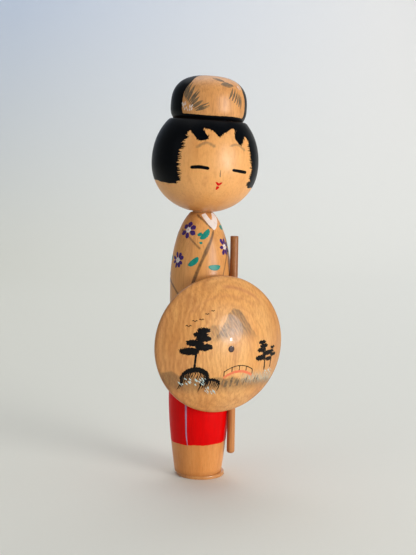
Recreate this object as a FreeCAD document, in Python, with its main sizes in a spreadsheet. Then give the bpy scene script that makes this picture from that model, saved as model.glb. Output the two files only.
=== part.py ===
import math
import os

import FreeCAD, Part
import Sketcher

# Kokeshi doll holding a turned travelling hat, in millimetres.
#
# Frame: +Z up, the table is z = 0, the spindle axis of the body is the Z axis,
# and the hat faces -Y.  +X is the right of somebody who looks at the hat.
#
# Turning pieces: the head (with its bun, neck dowel and bun dowel) turns on the neck
# dowel, and the hat turns on its peg.  The staff is glued along the belly, where it
# touches it, and the foot disc is glued underneath.

V = FreeCAD.Vector

# --------------------------------------------------------------------------------------
# Driving dimensions: (name, value, meaning)
# --------------------------------------------------------------------------------------
DIMENSIONS = [
    # foot disc, glued a little off the centre line
    ("foot_radius", 14.6, "radius of the foot disc"),
    ("foot_thickness", 2.3, "thickness of the foot disc"),
    ("foot_offset_x", 1.38, "foot disc centre to the right of the body axis"),
    ("foot_offset_y", -0.59, "foot disc centre along Y"),
    ("foot_top_round", 0.8, "rounded upper edge of the foot disc"),
    ("foot_low_round", 0.35, "broken lower edge of the foot disc"),
    # body spindle
    ("body_top", 161.2, "height of the shoulder top, where the head sits"),
    ("body_radius", 18.5, "radius of the straight middle of the body"),
    ("body_low_radius", 14.4, "radius of the body where it meets the foot disc"),
    ("flare_top", 50.0, "height where the flare above the foot has become straight"),
    ("shoulder_low", 118.0, "height where the shoulder starts to round in"),
    ("shoulder_reach", 46.3, "upright half axis of the shoulder's ellipse"),
    # head axis: the neck socket is bored a little off the vertical
    ("neck_tilt", 3.0, "lean of the head axis, degrees"),
    ("lean_heading", 23.3, "direction that the head leans to, degrees from +X towards -Y"),
    ("neck_radius", 5.5, "radius of the neck dowel"),
    ("neck_play", 0.05, "radial running clearance of the dowel in the body"),
    ("neck_in_body", 15.0, "length of the dowel inside the body"),
    ("neck_in_head", 15.0, "length of the dowel above the shoulder top"),
    ("bore_end_gap", 0.6, "empty depth past the end of each dowel"),
    ("dowel_chamfer", 0.6, "chamfered dowel ends"),
    ("chin_gap", 0.8, "gap between shoulder top and chin"),
    # head and bun, heights measured along the head axis from the shoulder top
    ("crown_flat", 54.5, "flat on the crown that carries the bun"),
    ("bun_dowel_radius", 4.0, "radius of the dowel between head and bun"),
    ("bun_dowel_reach", 9.0, "length of that dowel in each of the two"),
    ("head_radius", 31.9, "largest radius of the head"),
    ("head_widest", 29.5, "height of the head's widest ring"),
    ("head_below", 29.5, "half axis of the head below its widest ring"),
    ("head_above", 34.4, "half axis of the head above its widest ring"),
    ("head_fullness", 2.1, "2 is an ellipse, more is squarer"),
    ("crown_round", 2.4, "rounded edge of the flat on the crown"),
    ("bun_radius", 22.6, "largest radius of the bun"),
    ("bun_widest", 62.2, "height of the bun's widest ring"),
    ("bun_below", 13.3, "half axis of the bun below its widest ring"),
    ("bun_above", 18.5, "half axis of the bun above its widest ring"),
    ("bun_fullness", 2.65, "2 is an ellipse, more is squarer"),
    ("bun_low_round", 0.8, "rounded lower edge of the bun"),
    # hat
    ("hat_centre_x", 2.44, "hat axis to the right of the body axis"),
    ("hat_centre_z", 84.4, "height of the hat axis"),
    ("hat_back_y", 21.3, "distance from the body axis to the back of the rim"),
    ("hat_radius", 40.8, "outside radius of the hat"),
    ("hat_height", 19.2, "back of the rim to the crown of the dome"),
    ("hat_rim_round", 2.2, "radius of the rounded rim"),
    ("hollow_radius", 36.2, "radius of the hollow at the back of the rim"),
    ("hollow_depth", 15.2, "depth of the hollow at the axis"),
    ("boss_radius", 7.0, "radius of the boss behind the hat"),
    ("boss_proud", 2.0, "boss standing out behind the rim"),
    ("peg_radius", 1.9, "radius of the hat peg"),
    ("peg_play", 0.05, "radial running clearance of the peg in the body"),
    ("peg_in_body", 12.0, "length of the peg from the boss face inwards"),
    ("peg_showing", 0.25, "peg end standing out of the crown of the hat"),
    ("peg_end_round", 0.7, "rounding of the peg end that shows on the crown"),
    # staff
    ("staff_radius", 2.4, "radius of the staff"),
    ("staff_x", 15.50, "staff axis to the right of the body axis"),
    ("staff_y", -14.04, "staff axis along Y"),
    ("staff_low", 14.9, "height of the lower end"),
    ("staff_length", 132.6, "length of the staff"),
    ("staff_end_round", 1.7, "rounding of the lower end"),
    ("staff_top_chamfer", 0.3, "broken edge of the sawn upper end"),
]

# The hat and its peg are modelled upright and laid down: their +Z becomes -Y.
LAID_DOWN = FreeCAD.Rotation(V(1, 0, 0), 90)
FULL_TURN = 360.0
START_SIZE = 1.0          # any small size; the sheet's expression replaces it at once
SAME_HEIGHT = 1e-4        # an edge counts as level within this
FLARE_POINTS = 10         # places worked out along each stretch of an outline
STRAIGHT_POINTS = 8
SHOULDER_POINTS = 14
BALL_POINTS = 24

os.makedirs("parts", exist_ok=True)
doc = FreeCAD.newDocument("kokeshi")
sheet = doc.addObject("Spreadsheet::Sheet", "dims")
D = {}
for row, (alias, value, meaning) in enumerate(DIMENSIONS, start=1):
    sheet.set("A%d" % row, meaning)
    sheet.set("B%d" % row, str(value))
    sheet.setAlias("B%d" % row, alias)
    D[alias] = value
doc.recompute()

# The head axis tips towards +X and a little towards -Y: it is turned about this line.
heading = math.radians(D["lean_heading"])
LEAN_AXIS = V(math.sin(heading), math.cos(heading), 0.0)


# --------------------------------------------------------------------------------------
# Helpers
# --------------------------------------------------------------------------------------
def new_body(label):
    body = doc.addObject("PartDesign::Body", label)
    body.Label = label
    return body


def new_sketch(body, name, role):
    """An empty sketch on one of the body's own origin planes."""
    plane = [f for f in body.Origin.OriginFeatures if f.Role == role][0]
    sketch = body.newObject("Sketcher::SketchObject", name)
    sketch.AttachmentSupport = [(plane, "")]
    sketch.MapMode = "FlatFace"
    return sketch


def circle_sketch(body, name, role, radius_formula):
    """A circle about the sketch origin whose radius follows the sheet."""
    sketch = new_sketch(body, name, role)
    ring = sketch.addGeometry(Part.Circle(V(0, 0, 0), V(0, 0, 1), START_SIZE))
    sketch.addConstraint(Sketcher.Constraint("Coincident", ring, 3, -1, 1))
    size = sketch.addConstraint(Sketcher.Constraint("Radius", ring, START_SIZE))
    sketch.renameConstraint(size, "radius")
    sketch.setExpression("Constraints.radius", radius_formula)
    return sketch


def pad(body, name, sketch, length_formula):
    feature = body.newObject("PartDesign::Pad", name)
    feature.Profile = sketch
    feature.Length = START_SIZE
    feature.setExpression("Length", length_formula)
    doc.recompute()
    return feature


def pocket(body, name, sketch, length_formula, upwards=False):
    """A pocket against the sketch's normal, or along it when upwards is set."""
    before = body.Shape.Volume
    feature = body.newObject("PartDesign::Pocket", name)
    feature.Profile = sketch
    feature.Length = START_SIZE
    feature.Reversed = upwards
    feature.setExpression("Length", length_formula)
    doc.recompute()
    if body.Shape.Volume >= before:
        raise RuntimeError(name + " removed nothing")
    return feature


def revolve(body, name, sketch):
    feature = body.newObject("PartDesign::Revolution", name)
    feature.Profile = sketch
    feature.ReferenceAxis = (sketch, ["V_Axis"])
    feature.Angle = FULL_TURN
    doc.recompute()
    return feature


def body_outline():
    """A quarter wave for the flare, a straight middle and a quarter ellipse for the shoulder."""
    low, radius, low_radius = D["foot_thickness"], D["body_radius"], D["body_low_radius"]
    points = []
    for n in range(FLARE_POINTS + 1):
        part = n / FLARE_POINTS
        points.append((low_radius + (radius - low_radius) * math.sin(part * math.pi / 2),
                       low + part * (D["flare_top"] - low)))
    for n in range(1, STRAIGHT_POINTS):
        points.append((radius, D["flare_top"] + (D["shoulder_low"] - D["flare_top"]) * n / STRAIGHT_POINTS))
    top_angle = math.asin((D["body_top"] - D["shoulder_low"]) / D["shoulder_reach"])
    for n in range(SHOULDER_POINTS + 1):
        angle = top_angle * n / SHOULDER_POINTS
        points.append((radius * math.cos(angle), D["shoulder_low"] + D["shoulder_reach"] * math.sin(angle)))
    return points


def ball_outline(name, low, high):
    """A ball fuller than an ellipse, cut level at two heights on the head axis."""
    radius, widest, power = D[name + "_radius"], D[name + "_widest"], D[name + "_fullness"]

    def half_axis(rise):
        return D[name + "_above"] if rise > 0 else D[name + "_below"]

    def direction(height):
        """Angle above the level at which the outline is seen from the middle of the widest ring."""
        rise = height - widest
        share = max(0.0, 1.0 - (abs(rise) / half_axis(rise)) ** power)
        return math.atan2(rise, radius * share ** (1 / power))

    first, last = direction(low), direction(high)
    points = []
    for n in range(BALL_POINTS + 1):
        angle = first + (last - first) * n / BALL_POINTS
        across, rise = math.cos(angle), math.sin(angle)
        size = ((abs(across) / radius) ** power + (abs(rise) / half_axis(rise)) ** power) ** (1 / power)
        points.append((across / size, widest + rise / size))
    closes_on_axis = points[-1][0] < SAME_HEIGHT
    points[0] = (points[0][0], low)
    points[-1] = (0.0 if closes_on_axis else points[-1][0], high)
    return points


def add_spline(sketch, points):
    """A smooth curve through each (radius, height) point."""
    curve = Part.BSplineCurve()
    curve.interpolate([V(r, z, 0) for r, z in points])
    sketch.addGeometry(curve)


def add_lines(sketch, points):
    """Straight segments from each (radius, height) point to the next."""
    for first, second in zip(points[:-1], points[1:]):
        sketch.addGeometry(Part.LineSegment(V(first[0], first[1], 0), V(second[0], second[1], 0)))


def turned_solid(body, name, outline):
    """Turns an outline, closed by its two flats and the axis, into a solid."""
    sketch = new_sketch(body, name + "Outline", "XZ_Plane")
    add_spline(sketch, outline)
    (first_r, low), (last_r, high) = outline[0], outline[-1]
    closing = [(last_r, high), (0.0, high), (0.0, low), (first_r, low)]
    if last_r == 0.0:
        closing = closing[1:]
    add_lines(sketch, closing)
    return revolve(body, name, sketch)


def level_edges(feature, height):
    """Names of a feature's edges that lie level at one height."""
    names = []
    for number, edge in enumerate(feature.Shape.Edges, start=1):
        box = edge.BoundBox
        if abs(box.ZMin - height) < SAME_HEIGHT and abs(box.ZMax - height) < SAME_HEIGHT:
            names.append("Edge%d" % number)
    return names


def dress_edges(body, kind, name, base, height, size_formula):
    """A Fillet or Chamfer on every edge of the feature at one height."""
    feature = body.newObject("PartDesign::" + kind, name)
    feature.Base = (base, level_edges(base, height))
    size = "Radius" if kind == "Fillet" else "Size"
    setattr(feature, size, START_SIZE / 10.0)
    feature.setExpression(size, size_formula)
    doc.recompute()
    return feature


def place_on_head_axis(body):
    """Stands a piece on the leaning head axis, its own z = 0 at the shoulder top."""
    turn = FreeCAD.Rotation(LEAN_AXIS, D["neck_tilt"])
    body.Placement = FreeCAD.Placement(V(0, 0, D["body_top"]), turn)
    body.setExpression("Placement.Base.z", "dims.body_top")


def place_on_hat_axis(body):
    """Lays a piece along the hat axis, its own z = 0 at the back of the rim."""
    body.Placement = FreeCAD.Placement(V(0, 0, 0), LAID_DOWN)
    body.setExpression("Placement.Base.x", "dims.hat_centre_x")
    body.setExpression("Placement.Base.y", "-dims.hat_back_y")
    body.setExpression("Placement.Base.z", "dims.hat_centre_z")


# --------------------------------------------------------------------------------------
# Foot disc
# --------------------------------------------------------------------------------------
foot = new_body("foot_disc")
foot_blank = pad(foot, "FootBlank", circle_sketch(foot, "FootCircle", "XY_Plane", "dims.foot_radius"),
                 "dims.foot_thickness")
foot_upper = dress_edges(foot, "Fillet", "FootUpperEdge", foot_blank, D["foot_thickness"],
                         "dims.foot_top_round")
dress_edges(foot, "Fillet", "FootLowerEdge", foot_upper, 0.0, "dims.foot_low_round")
foot.setExpression("Placement.Base.x", "dims.foot_offset_x")
foot.setExpression("Placement.Base.y", "dims.foot_offset_y")

# --------------------------------------------------------------------------------------
# Body: a turned spindle with a neck socket and a peg hole
# --------------------------------------------------------------------------------------
spindle = new_body("body")
turned_solid(spindle, "Spindle", body_outline())

socket = circle_sketch(spindle, "NeckSocketCircle", "XY_Plane", "dims.neck_radius + dims.neck_play")
socket.AttachmentOffset = FreeCAD.Placement(V(0, 0, D["body_top"]),
                                            FreeCAD.Rotation(LEAN_AXIS, D["neck_tilt"]))
socket.setExpression("AttachmentOffset.Base.z", "dims.body_top")
pocket(spindle, "NeckSocket", socket, "dims.neck_in_body + dims.bore_end_gap")
# The tilted sketch leaves a sliver over the low side of the socket: clear it upwards.
pocket(spindle, "NeckSocketMouth", socket, "dims.chin_gap", upwards=True)

# On the XZ plane a sketch's x is +X, its y is +Z and its normal is -Y.
peg_hole = circle_sketch(spindle, "PegHoleCircle", "XZ_Plane", "dims.peg_radius + dims.peg_play")
peg_hole.AttachmentOffset = FreeCAD.Placement(V(D["hat_centre_x"], D["hat_centre_z"], D["hat_back_y"]),
                                              FreeCAD.Rotation())
peg_hole.setExpression("AttachmentOffset.Base.x", "dims.hat_centre_x")
peg_hole.setExpression("AttachmentOffset.Base.y", "dims.hat_centre_z")
peg_hole.setExpression("AttachmentOffset.Base.z", "dims.hat_back_y - dims.boss_proud")
pocket(spindle, "PegHole", peg_hole, "dims.peg_in_body + dims.bore_end_gap")

# --------------------------------------------------------------------------------------
# Neck dowel, head, bun dowel and bun, all on the leaning head axis
# --------------------------------------------------------------------------------------
neck = new_body("neck_dowel")
neck_circle = circle_sketch(neck, "NeckCircle", "XY_Plane", "dims.neck_radius")
neck_circle.setExpression("AttachmentOffset.Base.z", "-dims.neck_in_body")
neck_rod = pad(neck, "NeckRod", neck_circle, "dims.neck_in_body + dims.neck_in_head")
neck_low = dress_edges(neck, "Chamfer", "NeckLowEnd", neck_rod, -D["neck_in_body"], "dims.dowel_chamfer")
dress_edges(neck, "Chamfer", "NeckTopEnd", neck_low, D["neck_in_head"], "dims.dowel_chamfer")
place_on_head_axis(neck)

head = new_body("head")
head_ball = turned_solid(head, "HeadBall", ball_outline("head", D["chin_gap"], D["crown_flat"]))
dress_edges(head, "Fillet", "CrownEdge", head_ball, D["crown_flat"], "dims.crown_round")
chin_bore = circle_sketch(head, "ChinBoreCircle", "XY_Plane", "dims.neck_radius")
pocket(head, "ChinBore", chin_bore, "dims.neck_in_head + dims.bore_end_gap", upwards=True)
crown_bore = circle_sketch(head, "CrownBoreCircle", "XY_Plane", "dims.bun_dowel_radius")
crown_bore.setExpression("AttachmentOffset.Base.z", "dims.crown_flat")
pocket(head, "CrownBore", crown_bore, "dims.bun_dowel_reach + dims.bore_end_gap")
place_on_head_axis(head)

bun_rod_body = new_body("bun_dowel")
bun_circle = circle_sketch(bun_rod_body, "BunDowelCircle", "XY_Plane", "dims.bun_dowel_radius")
bun_circle.setExpression("AttachmentOffset.Base.z", "dims.crown_flat - dims.bun_dowel_reach")
bun_rod = pad(bun_rod_body, "BunDowelRod", bun_circle, "2 * dims.bun_dowel_reach")
bun_low = dress_edges(bun_rod_body, "Chamfer", "BunDowelLowEnd", bun_rod,
                      D["crown_flat"] - D["bun_dowel_reach"], "dims.dowel_chamfer")
dress_edges(bun_rod_body, "Chamfer", "BunDowelTopEnd", bun_low,
            D["crown_flat"] + D["bun_dowel_reach"], "dims.dowel_chamfer")
place_on_head_axis(bun_rod_body)

bun = new_body("bun")
bun_top = D["bun_widest"] + D["bun_above"]
bun_ball = turned_solid(bun, "BunBall", ball_outline("bun", D["crown_flat"], bun_top))
dress_edges(bun, "Fillet", "BunLowEdge", bun_ball, D["crown_flat"], "dims.bun_low_round")
bun_bore = circle_sketch(bun, "BunBoreCircle", "XY_Plane", "dims.bun_dowel_radius")
bun_bore.setExpression("AttachmentOffset.Base.z", "dims.crown_flat")
pocket(bun, "BunBore", bun_bore, "dims.bun_dowel_reach + dims.bore_end_gap", upwards=True)
place_on_head_axis(bun)

# --------------------------------------------------------------------------------------
# Hat: a turned dome, hollow behind, with a boss; its peg goes right through and the
# rounded end shows as a dot on the crown
# --------------------------------------------------------------------------------------
def arc_height(radius_here, centre_height, arc_radius):
    """Height of an arc centred on the axis, at one distance from the axis."""
    return centre_height + (arc_radius ** 2 - radius_here ** 2) ** 0.5


def add_arc(sketch, first, middle, last):
    sketch.addGeometry(Part.Arc(V(first[0], first[1], 0), V(middle[0], middle[1], 0),
                                V(last[0], last[1], 0)))


def hat_outline(sketch):
    """Crown, dome, rounded rim, back of the rim, hollow and boss, as (radius, height)."""
    crown = D["hat_height"]
    rim = D["hat_rim_round"]
    rim_r = D["hat_radius"] - rim
    # The dome is the arc through the crown that the rim's round touches from inside.
    dome_r = (rim_r ** 2 + (crown - rim) ** 2 - rim ** 2) / (2 * (crown - 2 * rim))
    dome_low = crown - dome_r
    touch = dome_r / (dome_r - rim)
    touch_point = (rim_r * touch, dome_low + (rim - dome_low) * touch)
    half_r = rim_r / 2
    add_arc(sketch, (0, crown), (half_r, arc_height(half_r, dome_low, dome_r)), touch_point)
    add_arc(sketch, touch_point, (D["hat_radius"], rim), (rim_r, 0))
    # The hollow is one arc from the back of the rim to the depth of the hollow.
    hollow_edge = D["hollow_radius"]
    depth = D["hollow_depth"]
    hollow_r = (hollow_edge ** 2 + depth ** 2) / (2 * depth)
    hollow_low = depth - hollow_r
    boss_r = D["boss_radius"]
    middle_r = (hollow_edge + boss_r) / 2
    boss_root = (boss_r, arc_height(boss_r, hollow_low, hollow_r))
    add_lines(sketch, [(rim_r, 0), (hollow_edge, 0)])
    add_arc(sketch, (hollow_edge, 0), (middle_r, arc_height(middle_r, hollow_low, hollow_r)), boss_root)
    boss_face = -D["boss_proud"]
    add_lines(sketch, [boss_root, (boss_r, boss_face), (0, boss_face), (0, crown)])


hat = new_body("hat")
hat_sketch = new_sketch(hat, "HatOutline", "XZ_Plane")
hat_outline(hat_sketch)
revolve(hat, "HatDome", hat_sketch)
hat_bore = circle_sketch(hat, "HatBoreCircle", "XY_Plane", "dims.peg_radius")
hat_bore.setExpression("AttachmentOffset.Base.z", "-dims.boss_proud")
pocket(hat, "HatBore", hat_bore, "dims.boss_proud + dims.hat_height + dims.bore_end_gap", upwards=True)
place_on_hat_axis(hat)

peg = new_body("hat_peg")
peg_circle = circle_sketch(peg, "PegCircle", "XY_Plane", "dims.peg_radius")
peg_circle.setExpression("AttachmentOffset.Base.z", "-dims.boss_proud - dims.peg_in_body")
peg_rod = pad(peg, "PegRod", peg_circle,
              "dims.peg_in_body + dims.boss_proud + dims.hat_height + dims.peg_showing")
peg_inner_end = -D["boss_proud"] - D["peg_in_body"]
peg_low = dress_edges(peg, "Chamfer", "PegInnerEnd", peg_rod, peg_inner_end, "dims.dowel_chamfer")
dress_edges(peg, "Fillet", "PegShowingEnd", peg_low, D["hat_height"] + D["peg_showing"],
            "dims.peg_end_round")
place_on_hat_axis(peg)

# --------------------------------------------------------------------------------------
# Staff: a plain dowel, sawn off at the top and rounded at the bottom
# --------------------------------------------------------------------------------------
staff = new_body("staff")
staff_rod = pad(staff, "StaffRod", circle_sketch(staff, "StaffCircle", "XY_Plane", "dims.staff_radius"),
                "dims.staff_length")
staff_low = dress_edges(staff, "Fillet", "StaffLowEnd", staff_rod, 0.0, "dims.staff_end_round")
dress_edges(staff, "Chamfer", "StaffTopEnd", staff_low, D["staff_length"], "dims.staff_top_chamfer")
staff.setExpression("Placement.Base.x", "dims.staff_x")
staff.setExpression("Placement.Base.y", "dims.staff_y")
staff.setExpression("Placement.Base.z", "dims.staff_low")

# --------------------------------------------------------------------------------------
# Check everything, then write one STEP file for each piece
# --------------------------------------------------------------------------------------
PIECES = [foot, spindle, staff, neck, head, bun_rod_body, bun, hat, peg]

doc.recompute()
for item in doc.Objects:
    if "Invalid" in item.State or "Error" in item.State:
        raise RuntimeError(item.Label + " failed: " + ", ".join(item.State))
for piece in PIECES:
    shape = piece.Shape
    if shape.isNull() or not shape.isValid() or len(shape.Solids) != 1:
        raise RuntimeError(piece.Label + " is not one valid solid")
for piece in PIECES:
    piece.Shape.exportStep("parts/" + piece.Label + ".step")
    box = piece.Shape.BoundBox
    print("%-12s %9.1f mm3  x %7.2f..%7.2f  y %7.2f..%7.2f  z %7.2f..%7.2f" % (
        piece.Label, piece.Shape.Volume, box.XMin, box.XMax, box.YMin, box.YMax, box.ZMin, box.ZMax))
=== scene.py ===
"""A turned and painted kokeshi doll with a staff and a travelling hat, on a pale studio floor."""
import math

import bpy
import numpy as np
from mathutils import Matrix, Vector


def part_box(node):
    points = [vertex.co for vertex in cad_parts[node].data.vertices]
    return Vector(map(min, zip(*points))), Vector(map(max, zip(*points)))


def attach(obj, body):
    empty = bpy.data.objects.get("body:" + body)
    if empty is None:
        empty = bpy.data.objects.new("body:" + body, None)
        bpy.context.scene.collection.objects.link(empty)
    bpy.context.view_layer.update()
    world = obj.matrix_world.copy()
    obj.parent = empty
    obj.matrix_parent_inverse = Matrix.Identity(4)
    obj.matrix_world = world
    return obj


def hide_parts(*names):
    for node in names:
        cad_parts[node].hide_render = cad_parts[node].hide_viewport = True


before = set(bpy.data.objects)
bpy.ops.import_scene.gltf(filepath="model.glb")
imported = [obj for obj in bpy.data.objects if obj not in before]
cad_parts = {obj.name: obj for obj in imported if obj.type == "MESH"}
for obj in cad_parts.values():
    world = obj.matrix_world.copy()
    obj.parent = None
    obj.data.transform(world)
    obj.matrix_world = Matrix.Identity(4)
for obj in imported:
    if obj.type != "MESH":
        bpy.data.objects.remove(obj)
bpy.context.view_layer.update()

rng = np.random.default_rng(11)
MM = 0.001
FULLER = 1.3      # a brush line is this many times its nominal width, because its edges are sunk
EDGE_ROLL = 0.1   # mm by which a filled shape spreads, for the same reason


# -------- curves

def through(points, samples):
    """Smooth curve through the given points (Catmull-Rom)."""
    p = np.array(points, float)
    p = np.vstack([2 * p[0] - p[1], p, 2 * p[-1] - p[-2]])
    spans = len(p) - 3
    t = np.linspace(0, spans, samples)
    i = np.minimum(t.astype(int), spans - 1)
    f = (t - i)[:, None]
    a, b, c, d = p[i], p[i + 1], p[i + 2], p[i + 3]
    return 0.5 * (2 * b + (c - a) * f + (2 * a - 5 * b + 4 * c - d) * f ** 2
                  + (3 * b - a - 3 * c + d) * f ** 3)


def smoothstep(x):
    x = np.clip(x, 0, 1)
    return x * x * (3 - 2 * x)


def ripple(u, v, size, seed):
    """Cheap repeatable noise from a few crossed waves, about -1 to 1."""
    total = np.zeros(np.broadcast(u, v).shape)
    waves = np.random.default_rng(seed)
    for _ in range(5):
        angle = waves.uniform(0, math.pi)
        phase = waves.uniform(0, 2 * math.pi)
        f = 2 * math.pi / size * waves.uniform(0.6, 1.9)
        total += np.sin(f * (u * math.cos(angle) + v * math.sin(angle)) + phase
                        + 0.9 * np.sin(f * 0.6 * (v * math.cos(angle) - u * math.sin(angle)) + phase))
    return total / 3.2


# -------- the turned forms

# The same driving dimensions and formulas as the CAD, in mm.
FOOT_TOP, BODY_TOP, CHIN, CROWN_FLAT, BUN_TOP = 2.3, 161.2, 0.8, 54.5, 80.7
BODY_R, BODY_LOW_R, FLARE_TOP, SHOULDER_LOW, SHOULDER_REACH = 18.5, 14.4, 50.0, 118.0, 46.3
HEAD_BALL = dict(radius=31.9, widest=29.5, below=29.5, above=34.4, power=2.1)
BUN_BALL = dict(radius=22.6, widest=62.2, below=13.3, above=18.5, power=2.65)
CROWN_ROUND, BUN_LOW_ROUND = 2.4, 0.8
SAMPLES = 1601


def body_curve():
    """A quarter wave above the foot, a straight middle and a quarter ellipse for the shoulder."""
    z = np.linspace(FOOT_TOP, BODY_TOP, SAMPLES)
    rise = np.clip((z - FOOT_TOP) / (FLARE_TOP - FOOT_TOP), 0, 1)
    flare = BODY_LOW_R + (BODY_R - BODY_LOW_R) * np.sin(rise * math.pi / 2)
    shoulder = BODY_R * np.sqrt(1 - (np.maximum(z - SHOULDER_LOW, 0) / SHOULDER_REACH) ** 2)
    return np.stack([np.minimum(flare, shoulder), z], -1)


def ball_curve(low, high, radius, widest, below, above, power):
    """A ball fuller than an ellipse, cut level at two heights."""
    def direction(z):
        share = max(0.0, 1 - (abs(z - widest) / (above if z > widest else below)) ** power)
        return math.atan2(z - widest, radius * share ** (1 / power))
    angle = np.linspace(direction(low), direction(high), SAMPLES)
    half = np.where(angle > 0, above, below)
    across, rise = np.cos(angle), np.sin(angle)
    size = ((np.abs(across) / radius) ** power + (np.abs(rise) / half) ** power) ** (-1 / power)
    return np.stack([size * across, widest + size * rise], -1)


def round_top(curve, corner):
    """Rounds the edge where the curve's upper end meets a level flat."""
    run = np.gradient(curve, axis=0)
    run /= np.hypot(*run.T)[:, None]
    normal = np.stack([run[:, 1], -run[:, 0]], -1)
    inner = curve - corner * normal
    flat = curve[-1, 1]
    k = int(np.argmax(inner[:, 1] > flat - corner))
    turn = np.linspace(math.atan2(normal[k, 1], normal[k, 0]), math.pi / 2, 40)[:, None]
    arc = [inner[k, 0], flat - corner] + corner * np.hstack([np.cos(turn), np.sin(turn)])
    return np.vstack([curve[:k], arc])


HEAD_AT = Vector((0, 0, BODY_TOP))
# how far round to the left of the front the camera stands; the head leans sideways as seen from there
AROUND = math.radians(23.3)
HEAD_LEAN = Matrix.Rotation(math.radians(3), 3, Vector((math.sin(AROUND), math.cos(AROUND), 0)))
FACE_TURN = -6.5          # the face looks this much to the left of the hat, in degrees

HAT_X, HAT_BACK, HAT_Z = 2.44, -21.3, 84.4
RIM_ROUND, RIM_AT, CROWN = 2.2, 38.6, 19.2   # the rim's round, its middle's radius, and the dome's height
HOLLOW_EDGE, HOLLOW_DEPTH = 36.2, 15.2
# the dome meets the rim's round smoothly; both ball radii are kept to 0.01 mm
DOME_R = round((RIM_AT ** 2 + (CROWN - RIM_ROUND) ** 2 - RIM_ROUND ** 2) / (2 * (CROWN - 2 * RIM_ROUND)), 2)
DOME_LOW = CROWN - DOME_R                    # height of the dome's centre
HOLLOW_R = round((HOLLOW_EDGE ** 2 + HOLLOW_DEPTH ** 2) / (2 * HOLLOW_DEPTH), 2)
HOLLOW_LOW = HOLLOW_DEPTH - HOLLOW_R
BOSS_R, BOSS_FACE, BORE_R, BOSS_STEP = 7.0, -2.0, 1.93, 6.0


def upright(p):
    return p


def on_head(p):
    return p @ np.array(HEAD_LEAN).T + np.array(HEAD_AT)


def on_hat(p):
    """Hat points are (right, up, forward)."""
    return np.stack([HAT_X + p[..., 0], HAT_BACK - p[..., 2], HAT_Z + p[..., 1]], -1)


class Turned:
    """A turned surface. Places on it are degrees to the right of the front, and mm along the outline."""

    def __init__(self, curve, place):
        step = np.hypot(*np.diff(curve, axis=0).T)
        self.s = curve[0, 1] + np.concatenate([[0], np.cumsum(step)])
        self.r, self.z = curve.T
        tr, tz = np.gradient(self.r, self.s), np.gradient(self.z, self.s)
        size = np.hypot(tr, tz)
        self.nr, self.nz = tz / size, -tr / size
        self.place = place

    def along(self, z):
        return np.interp(z, self.z, self.s)

    def height(self, s):
        return np.interp(s, self.s, self.z)

    def radius(self, s):
        return np.interp(s, self.s, self.r)

    def scale(self, u, s):
        return np.maximum(self.radius(s), 1.0) * math.pi / 180

    def at(self, u, s, lift=0.0):
        r = self.radius(s) + lift * np.interp(s, self.s, self.nr)
        z = self.height(s) + lift * np.interp(s, self.s, self.nz)
        a = np.radians(u)
        return self.place(np.stack([r * np.sin(a), -r * np.cos(a), z], -1))


class Dome:
    """The hat's crown. Places on it are mm to the right and mm up from the peg."""

    def scale(self, u, s):
        return np.ones(np.shape(u))

    def along(self, z):
        return z

    def at(self, u, s, lift=0.0):
        rise = np.sqrt(np.maximum(DOME_R ** 2 - u ** 2 - s ** 2, 1.0))
        grow = 1 + lift / DOME_R
        return on_hat(np.stack([u * grow, s * grow, rise * grow + DOME_LOW], -1))


FLIP = np.array([1, -1])
bun_curve = ball_curve(CROWN_FLAT, BUN_TOP, **BUN_BALL)
BODY = Turned(body_curve(), upright)
HEAD = Turned(round_top(ball_curve(CHIN, CROWN_FLAT, **HEAD_BALL), CROWN_ROUND), on_head)
BUN = Turned(round_top(bun_curve[::-1] * FLIP, BUN_LOW_ROUND)[::-1] * FLIP, on_head)
HAT = Dome()


# -------- meshes

def build(name, verts, faces, material, body, attributes=None, stands_for=(), sharp=40):
    mesh = bpy.data.meshes.new(name)
    mesh.from_pydata((np.asarray(verts) * MM).tolist(), [], faces)
    mesh.update()
    mesh.shade_smooth()
    mesh.set_sharp_from_angle(angle=math.radians(sharp))
    for key, values in (attributes or {}).items():
        mesh.attributes.new(key, "FLOAT", "POINT").data.foreach_set("value", values)
    obj = bpy.data.objects.new(name, mesh)
    bpy.context.scene.collection.objects.link(obj)
    mesh.materials.append(material)
    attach(obj, body)
    if stands_for:
        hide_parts(*stands_for)


def lathe(profile, segments, place, closed=False):
    """Turns (radius, height) points round the axis. An open profile starts and ends on the axis."""
    verts, rings, faces = [], [], []
    angles = np.arange(segments) * 2 * math.pi / segments
    for r, z in profile:
        if r < 1e-6:
            rings.append([len(verts)])
            verts.append((0, 0, z))
        else:
            start = len(verts)
            rings.append(list(range(start, start + segments)))
            verts.extend(zip(r * np.sin(angles), -r * np.cos(angles), np.full(segments, z)))
    if closed:
        rings.append(rings[0])
    for low, high in zip(rings, rings[1:]):
        for i in range(segments):
            j = (i + 1) % segments
            if len(low) == 1:
                faces.append((low[0], high[j], high[i]))
            elif len(high) == 1:
                faces.append((low[i], low[j], high[0]))
            else:
                faces.append((low[i], low[j], high[j], high[i]))
    verts = np.array(verts, float)
    return verts, place(verts), faces


def outline_points(surface, count):
    s = np.linspace(surface.s[0], surface.s[-1], count)
    return list(zip(surface.radius(s), surface.height(s)))


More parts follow.
